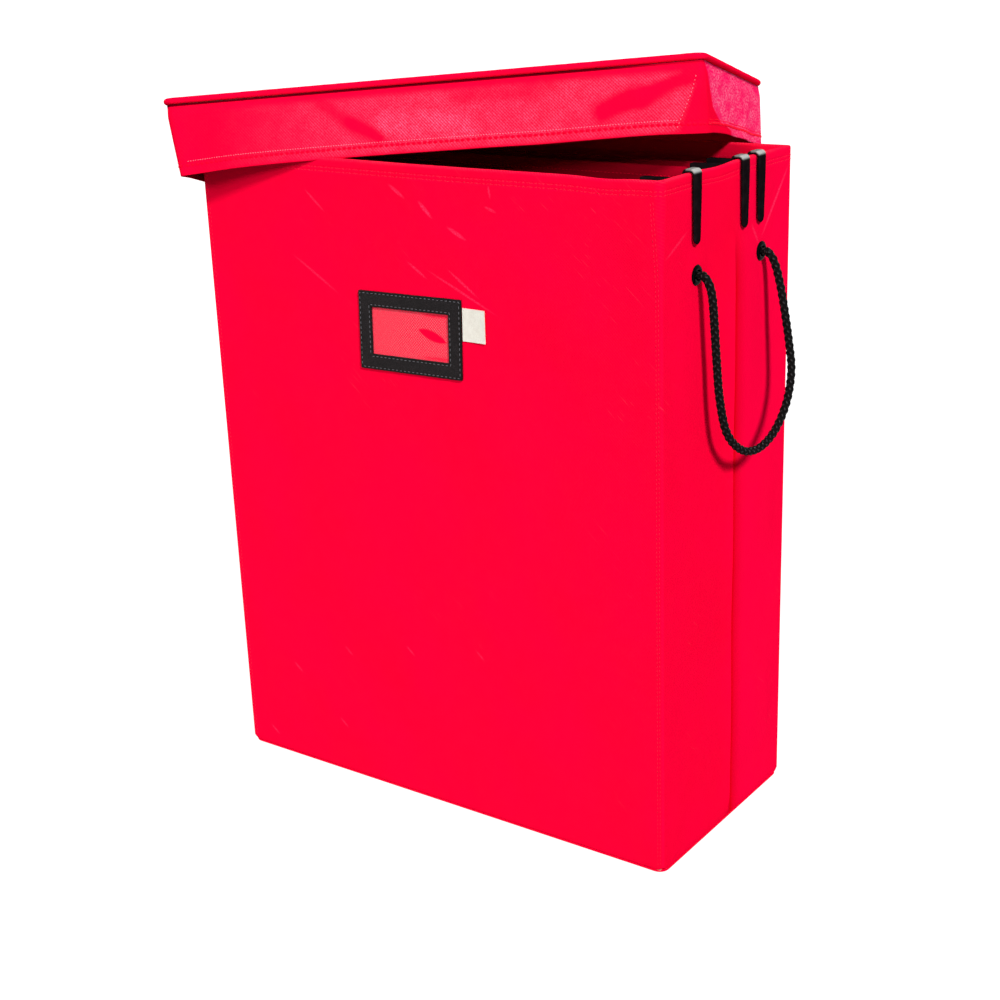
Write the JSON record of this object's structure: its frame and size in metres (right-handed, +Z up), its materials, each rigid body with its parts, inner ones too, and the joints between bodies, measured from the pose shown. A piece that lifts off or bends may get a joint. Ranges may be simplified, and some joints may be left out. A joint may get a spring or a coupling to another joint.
{
  "type": "gift wrap organizer",
  "caption": "Tall fabric storage box with hanging dividers hooked over its side rims, rope handles, a label pocket on the front and a lift-off lid that lies askew on the rim.",
  "frame": {"origin": "centre of the box's underside, where it rests on the floor", "axes": "+Z up; +X to the box's right end, seen from the front; -Y towards the front with the label"},
  "size_m": [0.5186, 0.3312, 0.5931],
  "materials": {
    "red_fabric": "matte embossed non-woven fabric",
    "red_lid_fabric": "matte embossed non-woven fabric",
    "card": "plain grey-brown stiffener board, a paper fibre board",
    "black_leather": "satin grained leatherette, stitched",
    "clear_film": "clear film over the red fabric",
    "tag_cloth": "pale woven tape, left bare",
    "black_plastic": "glossy black",
    "black_rope": "braided cord, slight sheen",
    "black_metal": "glossy black enamel"
  },
  "bodies": {
    "box": {"front_panel_sleeve": "red_fabric", "front_panel_board": "card", "back_panel_sleeve": "red_fabric", "back_panel_board": "card", "right_side_front_half_sleeve": "red_fabric", "right_side_front_half_board": "card", "right_side_rear_half_sleeve": "red_fabric", "right_side_rear_half_board": "card", "left_side_front_half_sleeve": "red_fabric", "left_side_front_half_board": "card", "left_side_rear_half_sleeve": "red_fabric", "left_side_rear_half_board": "card", "bottom_fabric": "red_fabric", "base_board": "red_fabric", "label_frame": "black_leather", "label_window": "clear_film", "sewn_tag": "tag_cloth", "eyelet_right_front": "black_metal", "washer_right_front": "black_metal", "rope_end_right_front": "black_rope", "eyelet_right_rear": "black_metal", "washer_right_rear": "black_metal", "rope_end_right_rear": "black_rope", "eyelet_left_front": "black_metal", "washer_left_front": "black_metal", "rope_end_left_front": "black_rope", "eyelet_left_rear": "black_metal", "washer_left_rear": "black_metal", "rope_end_left_rear": "black_rope"},
    "lid": {"lid_top_fabric": "red_lid_fabric", "lid_board": "card", "lid_welt": "red_lid_fabric", "lid_skirt_front": "red_lid_fabric", "lid_skirt_right": "red_lid_fabric", "lid_skirt_back": "red_lid_fabric", "lid_skirt_left": "red_lid_fabric"},
    "handle_right": {"rope_handle_right": "black_rope"},
    "handle_left": {"rope_handle_left": "black_rope"},
    "divider_1": {"divider_1": "red_fabric", "hook_right_1": "black_plastic", "hook_left_1": "black_plastic", "rivet_right_1": "black_metal", "rivet_left_1": "black_metal"},
    "divider_2": {"divider_2": "red_fabric", "hook_right_2": "black_plastic", "hook_left_2": "black_plastic", "rivet_right_2": "black_metal", "rivet_left_2": "black_metal"},
    "divider_3": {"divider_3": "red_fabric", "hook_right_3": "black_plastic", "hook_left_3": "black_plastic", "rivet_right_3": "black_metal", "rivet_left_3": "black_metal"}
  },
  "joints": [
    {"name": "lid_lift", "type": "slide", "parent": "box", "child": "lid", "axis": [0, 0, 1], "range_m": [0, 0.25]},
    {"name": "handle_right_swing", "type": "hinge", "parent": "box", "child": "handle_right", "pos_m": [0.2155, 0, 0.449], "axis": [0, -1, 0], "range_deg": [-4, 115]},
    {"name": "handle_left_swing", "type": "hinge", "parent": "box", "child": "handle_left", "pos_m": [-0.2155, 0, 0.449], "axis": [0, 1, 0], "range_deg": [-4, 85]},
    {"name": "divider_1_slide", "type": "slide", "parent": "box", "child": "divider_1", "axis": [0, 1, 0], "range_m": [-0.0325, 0.0265]},
    {"name": "divider_2_slide", "type": "slide", "parent": "box", "child": "divider_2", "axis": [0, 1, 0], "range_m": [-0.031, 0.0045]},
    {"name": "divider_3_slide", "type": "slide", "parent": "box", "child": "divider_3", "axis": [0, 1, 0], "range_m": [-0.008, 0.0415]}
  ]
}
